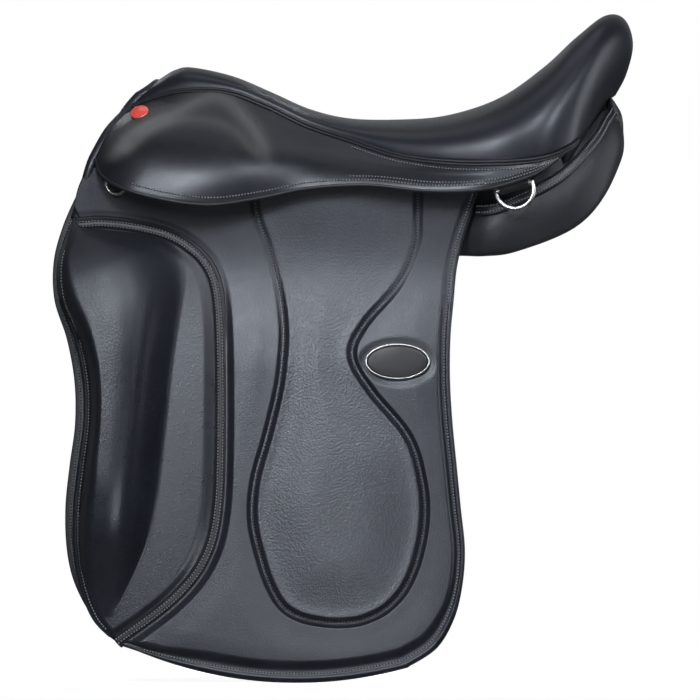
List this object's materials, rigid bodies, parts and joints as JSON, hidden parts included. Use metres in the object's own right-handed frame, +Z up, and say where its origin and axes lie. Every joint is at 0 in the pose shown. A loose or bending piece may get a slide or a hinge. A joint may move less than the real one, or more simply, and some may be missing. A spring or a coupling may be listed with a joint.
{
  "type": "dressage saddle",
  "caption": "Deep-seated dressage saddle with straight lifting flaps, external thigh blocks, flocked panels, sprung tree, stirrup bars with hinged catches, girth billets and metal rings.",
  "frame": {"origin": "on the centre plane, at the roof of the channel that spans the horse's spine, below the front of the seat's dip", "axes": "+X from the pommel to the cantle, +Z up, the rider's left side at -Y"},
  "size_m": [0.5216, 0.4346, 0.6003],
  "materials": {
    "seat_leather": "satin",
    "skirt_leather": "satin",
    "flap_leather": "grained",
    "leg_leather": "grained",
    "block_leather": "satin",
    "panel_leather": "satin",
    "billet_leather": "satin",
    "tree_wood": "satin",
    "foam": "matte",
    "webbing": "matte",
    "steel": "brushed",
    "chrome": "polished",
    "stud_red": "gloss",
    "badge_black": "gloss"
  },
  "bodies": {
    "saddle": {"tree": "tree_wood", "gullet_plate": "steel", "gullet_rivets": "steel", "seat_webs": "webbing", "seat_foam": "foam", "seat_cover": "seat_leather", "pommel_roll": "seat_leather", "seat_welt_left": "seat_leather", "seat_welt_right": "seat_leather", "skirt_left": "skirt_leather", "skirt_right": "skirt_leather", "stud_left": "stud_red", "stud_right": "stud_red", "stirrup_bar_left": "steel", "stirrup_bar_right": "steel", "bar_rivets_left": "steel", "bar_rivets_right": "steel", "catch_pin_left": "steel", "catch_pin_right": "steel", "panel_left": "panel_leather", "panel_right": "panel_leather", "panel_facing_left": "panel_leather", "panel_facing_right": "panel_leather", "sweat_flap_left": "flap_leather", "sweat_flap_right": "flap_leather", "flap_top_left": "flap_leather", "flap_top_right": "flap_leather", "girth_web_left": "webbing", "girth_web_right": "webbing", "rear_chape_left": "skirt_leather", "rear_chape_right": "skirt_leather", "front_chape_left": "skirt_leather", "front_chape_right": "skirt_leather"},
    "flap_body_left": {"flap_left": "flap_leather", "flap_facing_left": "flap_leather", "leg_panel_left": "leg_leather", "thigh_block_left": "block_leather", "block_welt_left": "block_leather", "badge_rim_left": "chrome", "badge_plate_left": "badge_black"},
    "bar_catch_body_left": {"bar_catch_left": "steel"},
    "rear_ring_body_left": {"rear_ring_left": "chrome"},
    "front_ring_body_left": {"front_ring_left": "chrome"},
    "front_billet_body_left": {"front_billet_left": "billet_leather"},
    "rear_billet_body_left": {"rear_billet_left": "billet_leather"},
    "flap_body_right": {"flap_right": "flap_leather", "flap_facing_right": "flap_leather", "leg_panel_right": "leg_leather", "thigh_block_right": "block_leather", "block_welt_right": "block_leather", "badge_rim_right": "chrome", "badge_plate_right": "badge_black"},
    "bar_catch_body_right": {"bar_catch_right": "steel"},
    "rear_ring_body_right": {"rear_ring_right": "chrome"},
    "front_ring_body_right": {"front_ring_right": "chrome"},
    "front_billet_body_right": {"front_billet_right": "billet_leather"},
    "rear_billet_body_right": {"rear_billet_right": "billet_leather"}
  },
  "joints": [
    {"name": "flap_lift_left", "type": "hinge", "parent": "saddle", "child": "flap_body_left", "pos_m": [-0.25, -0.1083, -0.038], "axis": [-0.9982, 0.0599, 0], "range_deg": [0, 70]},
    {"name": "catch_turn_left", "type": "hinge", "parent": "saddle", "child": "bar_catch_body_left", "pos_m": [-0.13042, -0.08391, 0.0031], "axis": [0, -0.9387, 0.3447], "range_deg": [0, 80]},
    {"name": "rear_ring_swing_left", "type": "hinge", "parent": "saddle", "child": "rear_ring_body_left", "pos_m": [0.147, -0.1346, -0.015], "axis": [-0.9613, 0, -0.2756], "range_deg": [-10, 75]},
    {"name": "front_ring_swing_left", "type": "hinge", "parent": "saddle", "child": "front_ring_body_left", "pos_m": [-0.21023, -0.10723, -0.00946], "axis": [-0.9308, 0.3656, 0], "range_deg": [-15, 20]},
    {"name": "front_billet_swing_left", "type": "hinge", "parent": "saddle", "child": "front_billet_body_left", "pos_m": [-0.10512, -0.10445, -0.04953], "axis": [-0.0582, -0.9704, 0.2345], "range_deg": [-4, 4]},
    {"name": "rear_billet_swing_left", "type": "hinge", "parent": "saddle", "child": "rear_billet_body_left", "pos_m": [-0.02012, -0.10953, -0.04954], "axis": [-0.0583, -0.9709, 0.2325], "range_deg": [-4, 4]},
    {"name": "flap_lift_right", "type": "hinge", "parent": "saddle", "child": "flap_body_right", "pos_m": [-0.25, 0.1083, -0.038], "axis": [0.9982, 0.0599, 0], "range_deg": [0, 70]},
    {"name": "catch_turn_right", "type": "hinge", "parent": "saddle", "child": "bar_catch_body_right", "pos_m": [-0.13042, 0.08391, 0.0031], "axis": [0, -0.9387, -0.3447], "range_deg": [0, 80]},
    {"name": "rear_ring_swing_right", "type": "hinge", "parent": "saddle", "child": "rear_ring_body_right", "pos_m": [0.147, 0.1346, -0.015], "axis": [0.9613, 0, 0.2756], "range_deg": [-10, 75]},
    {"name": "front_ring_swing_right", "type": "hinge", "parent": "saddle", "child": "front_ring_body_right", "pos_m": [-0.21023, 0.10723, -0.00946], "axis": [0.9308, 0.3656, 0], "range_deg": [-15, 20]},
    {"name": "front_billet_swing_right", "type": "hinge", "parent": "saddle", "child": "front_billet_body_right", "pos_m": [-0.10512, 0.10445, -0.04953], "axis": [0.0582, -0.9704, -0.2345], "range_deg": [-4, 4]},
    {"name": "rear_billet_swing_right", "type": "hinge", "parent": "saddle", "child": "rear_billet_body_right", "pos_m": [-0.02012, 0.10953, -0.04954], "axis": [0.0583, -0.9709, -0.2325], "range_deg": [-4, 4]}
  ]
}
